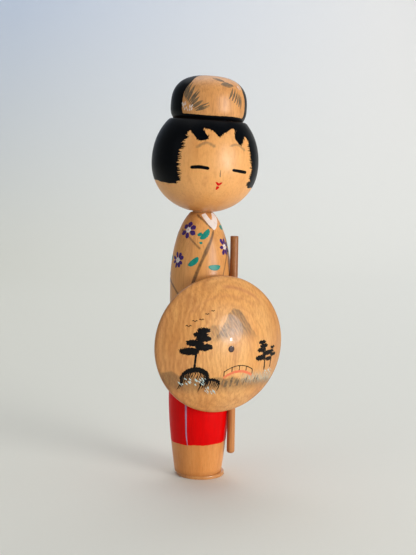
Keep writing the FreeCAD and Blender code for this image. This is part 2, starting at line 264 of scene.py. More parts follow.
class Layer:
    """Paint of one colour on one body, laid as thin closed films whose edges sink into the wood."""

    def __init__(self, name, material, body, slot="motif_paint"):
        self.name, self.material, self.body, self.slot = name, material, body, slot
        self.verts, self.faces = [], []

    def add(self, verts, faces):
        start = len(self.verts)
        self.verts.extend(verts)
        self.faces.extend([tuple(start + i for i in face) for face in faces])

    def film(self, surface, us, ss, mask, lift=0.07, taper=0.35, wrap=False):
        """Fills the part of the grid where mask (mm inside the edge) is above 0."""
        grid_u, grid_s = np.meshgrid(us, ss, indexing="ij")
        depth = mask(grid_u, grid_s)
        columns = len(us) if wrap else len(us) - 1
        points, index, faces = [], {}, []

        def corner(i, j):
            key = (i, j)
            if key not in index:
                index[key] = len(points)
                points.append((us[i], ss[j], depth[i, j]))
            return index[key]

        def crossing(i, j, k, m):
            key = (i, j, k, m) if (i, j) < (k, m) else (k, m, i, j)
            if key not in index:
                a, b = depth[i, j], depth[k, m]
                t = a / (a - b)
                u0, u1 = us[i], us[k]
                if wrap and abs(u1 - u0) > 180:
                    u1 += 360 if u1 < u0 else -360
                index[key] = len(points)
                points.append((u0 + t * (u1 - u0), ss[j] + t * (ss[m] - ss[j]), 0.0))
            return index[key]

        inside = depth > 0
        for i in range(columns):
            k = (i + 1) % len(us)
            busy = inside[i, :-1] | inside[k, :-1] | inside[i, 1:] | inside[k, 1:]
            for j in np.nonzero(busy)[0]:
                ring = [(i, j), (k, j), (k, j + 1), (i, j + 1)]
                face = []
                for a in range(4):
                    b = (a + 1) % 4
                    if inside[ring[a]]:
                        face.append(corner(*ring[a]))
                    if inside[ring[a]] != inside[ring[b]]:
                        face.append(crossing(*ring[a], *ring[b]))
                if len(face) > 2:
                    faces.append(tuple(face))
        if not faces:
            return
        u, s, d = np.array(points).T
        top = surface.at(u, s, lift * smoothstep(d / taper) - 0.02)
        low = surface.at(u, s, -0.06)
        edges = {(f[i], f[(i + 1) % len(f)]) for f in faces for i in range(len(f))}
        size = len(points)
        shell = list(faces) + [tuple(size + i for i in reversed(f)) for f in faces]
        shell += [(b, a, size + a, size + b) for a, b in edges if (b, a) not in edges]
        self.add(np.vstack([top, low]).tolist(), shell)

    def patch(self, surface, points, step=0.22, wobble=0.08, seed=0, smooth=True, lift=0.07):
        """A filled shape with a hand-painted edge, from its corner points."""
        shape = np.array([(u, surface.along(z)) for u, z in points], float)
        mid_s = shape[:, 1].mean()
        k = float(surface.scale(shape[:, 0].mean(), mid_s))
        if smooth:
            closed = np.vstack([shape, shape[:1]])
            pad = np.vstack([shape[-1:], closed, shape[1:2]])
            count = len(shape) * 8
            whole = through(pad, (len(pad) - 1) * 8 + 1)
            shape = whole[8:8 + count]
        mm_shape = shape * [k, 1]
        low, high = mm_shape.min(0) - 3 * step, mm_shape.max(0) + 3 * step
        xs = np.arange(low[0], high[0], step)
        ys = np.arange(low[1], high[1], step)

        def mask(u, s):
            return inside_mm(mm_shape, u * k, s) + EDGE_ROLL + wobble * ripple(u * k, s, 1.3, seed)
        self.film(surface, xs / k, ys, mask, lift)

    def stroke(self, surface, path, lift=0.06, blunt=False, step=0.3, wobble=0.0):
        """A brush line through (u, z, width) points, in the surface's own units and mm."""
        path = np.array([(p[0], surface.along(p[1]), p[2]) for p in path], float)
        k = float(surface.scale(path[:, 0].mean(), path[:, 1].mean()))
        mm_path = path * [k, 1, 1]
        length = np.hypot(*np.diff(mm_path[:, :2], axis=0).T).sum()
        count = max(5, int(length / step))
        line = through(mm_path, count)
        run = np.gradient(line[:, :2], axis=0)
        run /= np.maximum(np.hypot(*run.T), 1e-9)[:, None]
        side = np.stack([-run[:, 1], run[:, 0]], -1)
        half = np.maximum(line[:, 2], 0.04) * FULLER / 2
        travel = np.concatenate([[0], np.cumsum(np.hypot(*np.diff(line[:, :2], axis=0).T))])
        if blunt:
            near = np.minimum(travel, travel[-1] - travel) / np.maximum(half.max(), 1e-6)
            half = half * np.sqrt(np.clip(1 - (1 - np.clip(near, 0, 1)) ** 2, 0.02, 1))
        if wobble:
            start = path[0, 0]
            half = half * (1 + wobble * ripple(travel, travel * 0 + start, 2.2, int(abs(start) * 7) + 3))
        across = (-1, -0.72, 0, 0.72, 1, 0)
        lifts = (-0.02, 0.75 * lift, lift, 0.75 * lift, -0.02, -0.06)
        rings = []
        for a, h in zip(across, lifts):
            spot = line[:, :2] + side * (half * a)[:, None]
            rings.append(surface.at(spot[:, 0] / k, spot[:, 1], h))
        n = len(across)
        verts = np.stack(rings, 1).reshape(-1, 3)
        faces = []
        for i in range(count - 1):
            for a in range(n):
                b = (a + 1) % n
                faces.append((i * n + a, i * n + b, (i + 1) * n + b, (i + 1) * n + a))
        faces.append(tuple(reversed(range(n))))
        faces.append(tuple((count - 1) * n + a for a in range(n)))
        self.add(verts.tolist(), faces)

    def done(self):
        build(self.name, self.verts, self.faces, self.material, self.body, sharp=70)


def nearest(start, end, x, y):
    """How far along a straight line (0 to 1) the nearest place is, and the distance to it."""
    (ax, ay), (bx, by) = start, end
    ex, ey = bx - ax, by - ay
    t = np.clip(((x - ax) * ex + (y - ay) * ey) / (ex * ex + ey * ey + 1e-12), 0, 1)
    return t, np.hypot(x - ax - t * ex, y - ay - t * ey)


def inside_mm(shape, x, y):
    """Distance to a closed outline, positive inside."""
    best, odd = np.full(x.shape, 1e9), np.zeros(x.shape, bool)
    for start, end in zip(shape, np.roll(shape, -1, axis=0)):
        (ax, ay), (bx, by) = start, end
        best = np.minimum(best, nearest(start, end, x, y)[1])
        if ay != by:
            odd ^= ((ay > y) != (by > y)) & (x < (bx - ax) * (y - ay) / (by - ay) + ax)
    return np.where(odd, best, -best)


def near_line(points, x, y):
    """Distance to an open line, and how far along it (0 to 1) the nearest place is."""
    best, where = np.full(x.shape, 1e9), np.zeros(x.shape)
    for n, (start, end) in enumerate(zip(points, points[1:])):
        t, gap = nearest(start, end, x, y)
        where = np.where(gap < best, (n + t) / (len(points) - 1), where)
        best = np.minimum(best, gap)
    return best, where


# -------- materials

def colour(r, g, b):
    """sRGB 0-255 to the linear colour that nodes use."""
    out = [c / 255 / 12.92 if c < 10.4 else ((c / 255 + 0.055) / 1.055) ** 2.4 for c in (r, g, b)]
    return (*out, 1.0)


class Finish:
    """A node material built on the object's own coordinates, in mm."""

    def __init__(self, name):
        self.material = bpy.data.materials.new(name)
        self.material.use_nodes = True
        self.tree = self.material.node_tree
        self.tree.nodes.clear()
        out = self.node("ShaderNodeOutputMaterial")
        self.shader = self.node("ShaderNodeBsdfPrincipled")
        self.tree.links.new(self.shader.outputs[0], out.inputs["Surface"])
        self.place = self.node("ShaderNodeTexCoord").outputs["Object"]

    def node(self, kind, inputs=None, **settings):
        node = self.tree.nodes.new(kind)
        for key, value in settings.items():
            setattr(node, key, value)
        self.put(node, inputs or {})
        return node

    def put(self, node, inputs):
        for key, value in inputs.items():
            if isinstance(value, bpy.types.NodeSocket):
                self.tree.links.new(value, node.inputs[key])
            else:
                node.inputs[key].default_value = value

    def scaled(self, size, stretch):
        """The object's coordinates in units of size mm, times stretch."""
        scale = [1000 / size * k for k in stretch]
        return self.node("ShaderNodeMapping", {"Vector": self.place, "Scale": scale}).outputs[0]

    def spots(self, size, stretch=(1, 1, 1), detail=3.0, rough=0.55, warp=0.0):
        """Noise whose features are about size mm, longer along an axis with stretch below 1."""
        inputs = {"Vector": self.scaled(size, stretch), "Scale": 1.0, "Detail": detail, "Roughness": rough,
                  "Distortion": warp}
        return self.node("ShaderNodeTexNoise", inputs).outputs[0]

    def rings(self, size, direction, warp, warp_size):
        """Fine parallel bands, like the marks of a turning tool."""
        inputs = {"Vector": self.scaled(size, direction), "Scale": 0.314, "Distortion": warp, "Detail": 2.0,
                  "Detail Scale": warp_size}
        return self.node("ShaderNodeTexWave", inputs, bands_direction="DIAGONAL").outputs["Fac"]

    def spread(self, value, low, high, to_low=0.0, to_high=1.0):
        inputs = dict(enumerate((value, low, high, to_low, to_high)))
        return self.node("ShaderNodeMapRange", inputs).outputs[0]

    def product(self, a, b):
        return self.node("ShaderNodeMath", {0: a, 1: b}, operation="MULTIPLY").outputs[0]

    def blend(self, amount, a, b):
        return self.node("ShaderNodeMix", {"Factor": amount, 6: a, 7: b}, data_type="RGBA").outputs[2]

    def mark(self, name):
        return self.node("ShaderNodeAttribute", attribute_name=name).outputs["Fac"]

    def relief(self, height, strength, depth_mm, under=None):
        inputs = {"Strength": strength, "Distance": depth_mm * MM, "Height": height}
        bump = self.node("ShaderNodeBump", inputs)
        if under is not None:
            self.put(bump, {"Normal": under})
        return bump.outputs[0]

    def surface(self, base, rough, normal, coat=0.0, coat_rough=0.1, level=0.5):
        self.put(self.shader, {"Base Color": base, "Roughness": rough, "Coat Weight": coat,
                               "Coat Roughness": coat_rough, "Specular IOR Level": level, "Normal": normal})
        return self.material


def wood(name, light, mid, dark, along=(1, 1, 0.045), coat=0.5, coat_rough=0.16, mottle=1.0,
         marks=(), level=0.4):
    """Pale turned wood under old amber varnish. marks are (attribute, colour, strength) tints: washes, and
    painted shade.
    """
    light, mid, dark = colour(*light), colour(*mid), colour(*dark)
    f = Finish(name)
    broad = f.spots(26, (1, 1, 0.6), 2.0)
    tone = f.blend(f.spread(broad, 0.32, 0.68), mid, light)
    fibre = f.spots(0.9, along, 4.0, 0.62)
    tone = f.blend(f.spread(fibre, 0.46, 0.74, 0, 0.55 * mottle), tone, dark)
    band = f.spots(5.5, (1, 1, along[2] * 0.8) if along[2] < 1 else along, 3.0, 0.5, 0.8)
    tone = f.blend(f.spread(band, 0.50, 0.72, 0, 0.42 * mottle), tone, dark)
    fleck = f.spots(0.42, tuple(k ** 0.5 for k in along), 2.0, 0.7)
    tone = f.blend(f.spread(fleck, 0.62, 0.72, 0, 0.40 * mottle), tone, dark)
    pale = f.spots(1.4, tuple(k ** 0.7 for k in along), 3.0, 0.6)
    tone = f.blend(f.spread(pale, 0.58, 0.75, 0, 0.35), tone, light)
    ring = f.rings(0.9, (0, 0, 1), warp=1.5, warp_size=0.4)
    for attribute, tint, strength in marks:
        patchy = f.spread(f.spots(1.1, (1, 1, 0.5), 4.0, 0.7), 0.25, 0.7, 0.55, 1.0)
        amount = f.product(f.product(f.mark(attribute), patchy), strength)
        tone = f.blend(amount, tone, colour(*tint))
    normal = f.relief(ring, 0.05, 0.03)
    normal = f.relief(fibre, 0.16, 0.04, normal)
    normal = f.relief(f.spots(7, (1, 1, 1), 2.0), 0.12, 0.12, normal)
    rough = f.spread(f.spots(3.0, (1, 1, 0.4), 3.0), 0.3, 0.7, 0.36, 0.52)
    return f.surface(tone, rough, normal, coat, coat_rough, level)


def paint(name, main, worn, brush=(1, 1, 0.1), size=0.8, rough=(0.34, 0.48), coat=0.15, coat_rough=0.2,
          streak=0.5, relief=0.2, level=0.3):
    """Brushed colour under the varnish, thinner along its brush marks."""
    main, worn = colour(*main), colour(*worn)
    f = Finish(name)
    hairs = f.spots(size, brush, 4.0, 0.6)
    tone = f.blend(f.spread(hairs, 0.45, 0.75, 0, streak), main, worn)
    cloud = f.spots(6, (1, 1, 1), 2.0)
    tone = f.blend(f.spread(cloud, 0.4, 0.75, 0, streak * 0.5), tone, worn)
    normal = f.relief(hairs, relief, 0.05)
    gloss = f.spread(f.spots(2.5, (1, 1, 0.6), 3.0), 0.3, 0.7, *rough)
    return f.surface(tone, gloss, normal, coat, coat_rough, level)


# each wood's painted_shade mark lays painted shade where its attribute is set
BODY_WOOD = wood("body_wood", (230, 166, 98), (216, 148, 80), (164, 98, 44),
                 marks=(("orange_towards_foot", (214, 126, 48), 0.6), ("ink", (84, 60, 38), 1.0),
                        ("painted_shade", (124, 62, 20), 0.6)),
                 mottle=0.8, coat=0.25, coat_rough=0.2, level=0.3)
HEAD_WOOD = wood("head_wood", (240, 178, 108), (230, 160, 86), (182, 108, 48),
                 marks=(("ink", (98, 78, 60), 0.9), ("painted_shade", (156, 82, 28), 0.75)),
                 along=(1, 1, 0.3), coat=0.22, coat_rough=0.34, mottle=0.62, level=0.45)
BUN_WOOD = wood("bun_wood", (224, 162, 98), (208, 142, 76), (162, 98, 48),
                along=(1, 1, 0.14), coat=0.22, coat_rough=0.3, level=0.35)
HAT_WOOD = wood("hat_wood", (240, 182, 110), (226, 158, 82), (172, 100, 42),
                along=(1, 0.6, 0.16), coat=0.3, coat_rough=0.05, level=0.5,
                marks=(("grain_and_painted_shade", (176, 100, 44), 0.5), ("painted_shade", (150, 84, 32), 0.6),
                       ("blush", (176, 92, 72), 0.6), ("ink", (80, 64, 40), 0.92),
                       ("frost", (156, 182, 174), 0.95)))
STAFF_WOOD = wood("staff_wood", (204, 136, 76), (186, 116, 58), (124, 66, 30),
                  along=(1, 1, 0.03), coat=0.15, coat_rough=0.3, mottle=1.2, level=0.3,
                  marks=(("painted_shade", (96, 48, 22), 0.75),))
BARE_WOOD = wood("bare_wood", (216, 170, 118), (200, 148, 94), (150, 98, 56),
                 coat=0.0, mottle=1.2, level=0.2)
FOOT_WOOD = wood("foot_wood", (218, 152, 84), (202, 132, 66), (150, 84, 36),
                 along=(0.12, 1, 1), coat=0.6, coat_rough=0.1, level=0.5)
BLACK = paint("black_gloss", (0, 2, 6), (4, 9, 15), size=0.5, streak=0.6,
              rough=(0.3, 0.42), coat=0.06, coat_rough=0.25, level=0.06, relief=0.45)
INK = paint("ink_black", (4, 4, 6), (22, 18, 14), brush=(1, 1, 0.3), size=0.7, streak=0.7,
            coat=0.06, level=0.12)
RED = paint("red_lacquer", (222, 0, 2), (196, 0, 2), brush=(1, 1, 0.08), size=1.4,
            rough=(0.34, 0.44), coat=0.05, relief=0.12, level=0.06)
LIP = paint("lip_red", (214, 8, 8), (184, 8, 8), size=0.5, level=0.15, coat=0.05)
PURPLE = paint("purple", (66, 26, 116), (38, 12, 74), brush=(0.5, 0.5, 0.3), size=0.6, streak=0.8)
TEAL = paint("teal", (8, 140, 122), (4, 104, 100), brush=(0.6, 0.6, 0.3), size=0.8, streak=0.85)
FROST = paint("frost_dab", (200, 218, 214), (160, 186, 184), brush=(0.5, 0.5, 0.3), size=0.6,
              streak=0.7)
WHITE = paint("white", (238, 228, 222), (214, 196, 188), brush=(0.5, 0.5, 0.3), size=0.7,
              streak=0.7)
LILAC = paint("lilac", (176, 138, 170), (150, 84, 110), size=0.7, streak=0.8)
CORAL = paint("coral", (232, 116, 78), (222, 140, 92), brush=(0.4, 1, 0.6), size=0.7, streak=0.8)
GREY = paint("grey_leaf", (98, 82, 62), (152, 118, 80), brush=(0.6, 0.6, 0.25), size=0.6,
             streak=0.9)
DOT = paint("peg_paint", (52, 20, 22), (30, 10, 14), brush=(1, 1, 1), size=0.8, streak=0.6,
            coat=0.6, coat_rough=0.1)


# -------- body, foot, staff

def soft_line(u, s, surface, points, width, soft=0.7):
    """0 to 1 along a painted line, fading over soft mm at its edges."""
    mid = np.array([(p[0], surface.along(p[1])) for p in points], float)
    k = float(surface.scale(mid[:, 0].mean(), mid[:, 1].mean()))
    line = through(mid * [k, 1], 12 * len(points))
    gap, where = near_line(line, u * k, s)
    w = width * (1.0 + 0.25 * ripple(where * 20, where * 3, 6.0, len(points)))
    w = w * smoothstep(where / 0.06 + 0.35) * smoothstep((1 - where) / 0.10 + 0.25)
    return smoothstep((w / 2 + soft / 2 - gap) / soft)


body_profile = [(0, FOOT_TOP), (7.0, FOOT_TOP), (14.1, FOOT_TOP)] + outline_points(BODY, 232)
body_profile += [(6.6, 161.25), (5.6, 161.25), (5.55, 146.0), (0, 146.0)]
local, verts, faces = lathe(body_profile, 300, upright)
deg = np.degrees(np.arctan2(local[:, 0], -local[:, 1]))
s_of = BODY.along(local[:, 2])
KIMONO_LINES = [  # (degrees, height) along each fold or edge, then its width
    ([(10, 151), (-22, 133), (-45, 112), (-54, 92)], 2.0),       # front overlap
    ([(-43, 160), (-18, 157), (8, 152)], 1.4),                   # left lapel
    ([(-84, 151), (-54, 147), (-24, 140)], 0.9),                 # left sleeve
    ([(50, 141), (30, 130), (12, 114)], 0.8),                    # right sleeve
    ([(-104, 121), (-80, 116), (-58, 109)], 1.5),                # left cuff
    ([(84, 150), (62, 146), (46, 139)], 0.9),                    # right shoulder
    ([(168, 158), (176, 128), (184, 96)], 1.0),                  # back seam
    ([(102, 122), (78, 115), (52, 106)], 1.3),                   # right cuff
]
ink = np.zeros(len(local))
for points, width in KIMONO_LINES:
    wrapped = (deg - points[0][0] + 180) % 360 - 180 + points[0][0]
    ink = np.maximum(ink, soft_line(wrapped, s_of, BODY, points, width))
on_side = (local[:, 2] > 2.6) & (local[:, 2] < 161.2)
# painted shade: darker just above the foot and round the top of the body, under the head
painted_shade = smoothstep((5.5 - local[:, 2]) / 4) * 0.7 + smoothstep((local[:, 2] - 157) / 5) * 0.9
# the wood turns more orange towards the foot, fading out by 100 mm up
orange_towards_foot = smoothstep((100 - local[:, 2]) / 80)
build("doll_body", verts, faces, BODY_WOOD, "stand",
      {"ink": ink * on_side, "painted_shade": painted_shade, "orange_towards_foot": orange_towards_foot}, ("body",))


def on_axis(low, high):
    """Places round the upright axis through the middle of a CAD box."""
    x, y = [(a + b) / 2 / MM for a, b in zip(low, high)][:2]
    return lambda p: p + np.array([x, y, 0.0])


FOOT_R, FOOT_H, FOOT_LOW_ROUND, FOOT_TOP_ROUND = 14.6, 2.3, 0.35, 0.8
foot_profile = [(0, 0), (FOOT_R - 3, 0), (FOOT_R - FOOT_LOW_ROUND, 0)]
foot_profile += [(FOOT_R - FOOT_LOW_ROUND * (1 - math.sin(t)), FOOT_LOW_ROUND * (1 - math.cos(t)))
                 for t in np.linspace(0.3, 1.57, 4)]
foot_profile += [(FOOT_R - FOOT_TOP_ROUND * (1 - math.cos(t)), FOOT_H - FOOT_TOP_ROUND * (1 - math.sin(t)))
                 for t in np.linspace(0.05, 1.57, 7)]
foot_profile += [(12.5, FOOT_H), (8, FOOT_H), (0, FOOT_H)]
_, verts, faces = lathe(foot_profile, 160, on_axis(*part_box("foot_disc")))
build("foot_plate", verts, faces, FOOT_WOOD, "stand", None, ("foot_disc",))

staff_low, staff_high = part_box("staff")
STAFF_R, STAFF_ROUND = 2.4, 1.7
low_z, high_z = staff_low[2] / MM, staff_high[2] / MM
staff_profile = [(0, low_z)]
staff_profile += [(STAFF_R - STAFF_ROUND * (1 - math.sin(t)), low_z + STAFF_ROUND * (1 - math.cos(t)))
                  for t in np.linspace(0, 1.5, 8)]
staff_profile += [(STAFF_R, z) for z in np.linspace(low_z + 1.9, high_z - 0.32, 60)]
staff_profile += [(STAFF_R - 0.14, high_z - 0.1), (STAFF_R - 0.34, high_z), (1.1, high_z), (0, high_z)]
_, verts, faces = lathe(staff_profile, 48, on_axis(staff_low, staff_high))
# painted shade: the staff darkens from 60 mm up towards its top, where the head and hat shade it, and in the
# last few mm above the floor
painted_shade = smoothstep((verts[:, 2] - 60) / 90) * 0.85 + smoothstep((18 - verts[:, 2]) / 4) * 0.5
build("staff_rod", verts, faces, STAFF_WOOD, "stand", {"painted_shade": painted_shade}, ("staff",))

# kimono paint
collar = Layer("collar_paint", WHITE, "stand")
collar.patch(BODY, [(-24, 160), (-5, 161), (9, 157), (14, 157), (30, 161), (52, 161), (49, 158), (20, 152),
                    (12, 151), (-5, 155)], wobble=0.06, seed=2, smooth=False)
collar.done()

FLOWERS = [  # degrees, height, petals, and mm from the heart to the middle of a petal
    (-60, 151, 6, 4.2), (-75, 133, 8, 4.0), (37, 141, 7, 4.2), (112, 146, 6, 4.4),
    (150, 128, 6, 4.2), (-150, 139, 6, 4.4), (84, 126, 6, 4.2), (-118, 122, 6, 4.0),
]
PETAL = ((0.40, 0.55), (0.75, 0.95), (1.15, 1.10), (1.50, 0.70))   # share of the way out, share of the width
petals = Layer("petal_paint", PURPLE, "stand")
hearts = Layer("flower_hearts", WHITE, "stand")
yolks = Layer("flower_eyes", CORAL, "stand")
for n, (cu, cz, count, out) in enumerate(FLOWERS):
    k = float(BODY.scale(cu, BODY.along(cz)))
    for petal in range(count):
        t = 2 * math.pi * (petal + 0.5) / count + rng.uniform(-0.12, 0.12)
        reach, width = out * 0.82 * rng.uniform(0.9, 1.15), 13.0 / count * rng.uniform(0.9, 1.15)
        du, dz = reach * math.cos(t) / k, reach * math.sin(t)
        petals.stroke(BODY, [(cu + share * du, cz + share * dz, wide * width) for share, wide in PETAL],
                      blunt=True, wobble=0.12, lift=0.07)
    ring = [(cu + 1.8 / k * math.cos(t), cz + 1.7 * math.sin(t)) for t in np.linspace(0, 5.5, 8)]
    hearts.patch(BODY, ring, wobble=0.14, seed=n + 5, lift=0.09)
    yolk = [(cu + 0.5 / k * math.cos(t), cz + 0.5 * math.sin(t)) for t in np.linspace(0, 5.2, 6)]
    yolks.patch(BODY, yolk, wobble=0.1, seed=n + 40, step=0.12, lift=0.12)
petals.done()
hearts.done()
yolks.done()

leaves = Layer("leaf_paint", TEAL, "stand")
LEAVES = [  # degrees, height, length, width, and how far it is turned
    (-15, 149, 8, 3.4, 45), (-39, 133, 8, 3.4, 40), (4, 130, 8, 3.4, 0), (-28, 149, 3, 2.0, 30),
    (-24, 144, 2, 1.4, 0), (49, 153, 5, 3.0, 0), (89, 134, 5, 3.4, 150), (140, 136, 5, 3.0, 20),
    (-169, 130, 5, 3.0, 0), (-120, 148, 5, 3.2, 20), (-106, 134, 4, 3.6, 60),
]


def leaf(u, z, length, width, turn):
    """A dab that bellies out below its straight upper edge."""
    k = float(BODY.scale(u, BODY.along(z)))
    cos_turn, sin_turn = math.cos(math.radians(turn)), math.sin(math.radians(turn))
    belly = [(length / 2 * math.cos(t), (0.28 if math.sin(t) > 0 else 0.72) * width * math.sin(t))
             for t in np.linspace(0, 2 * math.pi, 13)[:-1]]
    return [(u + (x * cos_turn - y * sin_turn) / k, z + x * sin_turn + y * cos_turn) for x, y in belly]


for n, row in enumerate(LEAVES):
    leaves.patch(BODY, leaf(*row), wobble=0.09, seed=n + 60)
leaves.done()

RED_LOW, RED_HIGH = 21.7, 78.0     # the upper edge is hidden by the hat, so its height is a guess
red = Layer("red_band", RED, "stand", "red_lacquer")


def band_mask(u, s):
    a = np.radians(u)
    low = RED_LOW + 0.35 * np.sin(a + 0.3) + 0.12 * np.sin(a * 9) + 0.06 * np.sin(a * 31)
    high = RED_HIGH + 0.3 * np.sin(a * 2) + 0.12 * np.sin(a * 11)
    return np.minimum(s - BODY.along(low), BODY.along(high) - s)


red.film(BODY, np.arange(-180, 180, 1.5), np.arange(BODY.along(20), BODY.along(79.5), 0.45), band_mask,
         lift=0.08, wrap=True)
red.done()
stripe = Layer("band_stripe", LILAC, "stand")
for turn in (-48, 72, 192):
    stripe.stroke(BODY, [(turn, 77.6, 0.9), (turn, 58, 1.25), (turn, 38, 1.1), (turn, 28, 0.9),
                         (turn + 2, 21.6, 0.4)], lift=0.13, wobble=0.14)
stripe.done()


# -------- head

def face(points):
    """Face places are degrees from the middle of the face."""
    return [(p[0] + FACE_TURN, *p[1:]) for p in points]


head_profile = [(0, CHIN), (5.6, CHIN)] + outline_points(HEAD, 168) + [(12.0, CROWN_FLAT), (0, CROWN_FLAT)]
local, verts, faces = lathe(head_profile, 330, on_head)
deg = np.degrees(np.arctan2(local[:, 0], -local[:, 1]))
s_of = HEAD.along(local[:, 2])
ink = np.zeros(len(local))
for points, width in ((face([(-27, 38), (-17, 41), (-7, 39)]), 1.4),
                      (face([(10, 40), (19, 41), (30, 38)]), 1.1)):
    ink = np.maximum(ink, soft_line(deg, s_of, HEAD, points, width * 1.1, 1.0) * 0.72)
# painted shade: the lower head darkens towards the chin, most in its lowest few mm
painted_shade = smoothstep((7 - local[:, 2]) / 6) * 0.5 + smoothstep((19 - local[:, 2]) / 16) * 0.35
build("doll_head", verts, faces, HEAD_WOOD, "head",
      {"ink": ink, "painted_shade": painted_shade}, ("head",))

# the edge of the hair round the face: up the left side, over the fringe and down the right side
LEFT_EDGE = face([(-48, 12), (-48, 18), (-46, 22), (-47, 30), (-44, 38), (-40, 46)])
FRINGE = face([(-36, 47), (-25, 42), (-15, 44), (-22, 49), (-10, 48), (-3, 45), (4, 47), (16, 50), (21, 49),
               (17, 45), (24, 41), (33, 46)])
RIGHT_EDGE = face([(38, 42), (41, 32), (44, 24), (45, 21), (38, 19), (46, 16), (46, 12)])
HEAD_SCALE = float(HEAD.scale(0, HEAD.along(32)))
window_line = through(LEFT_EDGE + FRINGE + RIGHT_EDGE, 220)
window_mm = np.stack([window_line[:, 0] * HEAD_SCALE, HEAD.along(window_line[:, 1])], -1)


def hair_mask(u, s):
    turned = (u - FACE_TURN + 180) % 360 - 180 + FACE_TURN
    z = HEAD.height(s)
    x = turned * HEAD_SCALE
    open_face = inside_mm(window_mm, x, s)
    side = np.abs(turned - FACE_TURN)
    spikes = 0.8 * ripple(x * 0.2, s, 1.1, 21) * smoothstep((side - 33) / 6) * smoothstep((62 - side) / 10)
    locks = 0.16 * ripple(x, s * 0.2, 0.9, 22) * smoothstep((40 - side) / 6)
    bottom = 16.4 + 1.1 * smoothstep((side - 62) / 30) + 0.12 * np.sin(np.radians(turned) * 23)
    bottom = bottom + 1.2 * smoothstep((side - 120) / 40)
    return np.minimum(-open_face + spikes + locks, s - HEAD.along(bottom)), open_face


ROUND = np.linspace(-180, 180, 361)[:-1]      # every degree round an axis
hair = Layer("hair_paint", BLACK, "head", "black_paint")
hair.film(HEAD, ROUND, np.linspace(HEAD.along(14.5), HEAD.s[-1] - 0.05, 96),
          lambda u, s: np.minimum(hair_mask(u, s)[0], -hair_mask(u, s)[1] - 0.9),
          lift=0.08, taper=0.3, wrap=True)
hair.done()
fringe = Layer("hair_edge", BLACK, "head", "black_paint")
fringe.film(HEAD, np.linspace(-62, 44, 310), np.arange(HEAD.along(15), HEAD.along(52), 0.19),
            lambda u, s: np.minimum(hair_mask(u, s)[0], hair_mask(u, s)[1] + 2.3), lift=0.085, taper=0.2)
fringe.done()

bristles = Layer("hair_bristles", BLACK, "head", "black_paint")
for edge, inward, count in ((LEFT_EDGE[1:], 1, 64), (RIGHT_EDGE[:4], -1, 50)):
    line = through(edge, 200)
    for _ in range(count):
        u, z = line[int(rng.uniform(0, 199))]
        reach = rng.uniform(0.9, 2.9)
        lean = rng.uniform(-0.2, 0.4)
        k = HEAD_SCALE
        bristles.stroke(HEAD, [(u - inward * 1.6 / k, z - lean * 0.6, 0.65), (u - inward * 0.1 / k, z, 0.6),
                               (u + inward * reach / k, z + lean * reach, 0.1)], lift=0.06)
line = through(FRINGE, 300)
for _ in range(60):
    u, z = line[int(rng.uniform(0, 299))]
    drop, slant = rng.uniform(0.3, 1.0), rng.uniform(-0.6, 1.0)
    lock = [(u - slant, z + 1.2, 0.45), (u, z + 0.1, 0.36), (u + slant * drop, z - drop, 0.09)]
    bristles.stroke(HEAD, lock, lift=0.06)
bristles.done()

features = Layer("eye_paint", BLACK, "head", "black_paint")
for eye in ([(-32, 26.5, 1.5), (-22, 27, 1.7), (-12, 26.5, 1.5)],
            [(13, 26.5, 1.3), (23, 26, 1.5), (33, 25.5, 1.5)]):
    features.stroke(HEAD, face(eye), blunt=True, wobble=0.04, lift=0.08, step=0.2)
features.done()
nose = Layer("nose_line", GREY, "head", "black_paint")
nose.stroke(HEAD, face([(0, 26, 0.16), (0, 23, 0.5), (0.5, 22, 0.18)]), lift=0.05, step=0.2)
nose.done()
lips = Layer("lip_paint", LIP, "head")
for n, lip in enumerate(([(-4, 19), (-2, 19), (0, 18.5), (2, 19), (4, 19), (2, 17.5), (0, 17), (-2, 17.5)],
                         [(-2, 16.5), (1, 16.5), (1, 15.5), (-2, 14.5)])):
    lips.patch(HEAD, face(lip), step=0.14, wobble=0.05, seed=n + 3)
lips.done()


# -------- bun

bun_profile = [(0, CROWN_FLAT), (12, CROWN_FLAT)] + outline_points(BUN, 96)[:-1] + [(0, BUN_TOP)]
_, verts, faces = lathe(bun_profile, 240, on_head)
build("doll_bun", verts, faces, BUN_WOOD, "head", None, ("bun",))


def bun_hair_mask(u, s):
    """Black everywhere but the front panel, which wraps over the brow of the crown."""
    a = np.radians(u - FACE_TURN)
    r, z = BUN.radius(s), BUN.height(s)
    x, y = r * np.sin(a), -r * np.cos(a)
    back = -11.3 - 2.9 * smoothstep((x + 10) / 20)
    back = back + 10 * smoothstep((z - 70) / 10.5) * np.clip(1 - ((x - 4) / 19) ** 2, 0, 1)
    edge = 0.10 * ripple(u * 0.3, s, 3.0, 31)
    panel = np.minimum(back - y + edge, s - BUN.along(57.0 + 0.15 * np.sin(a * 5)) + edge)
    return -panel


bun_hair = Layer("bun_paint", BLACK, "head", "black_paint")
bun_hair.film(BUN, ROUND, np.linspace(BUN.s[0] + 0.02, BUN.s[-1] - 0.12, 96), bun_hair_mask,
              lift=0.08, taper=0.3, wrap=True)
bun_hair.done()

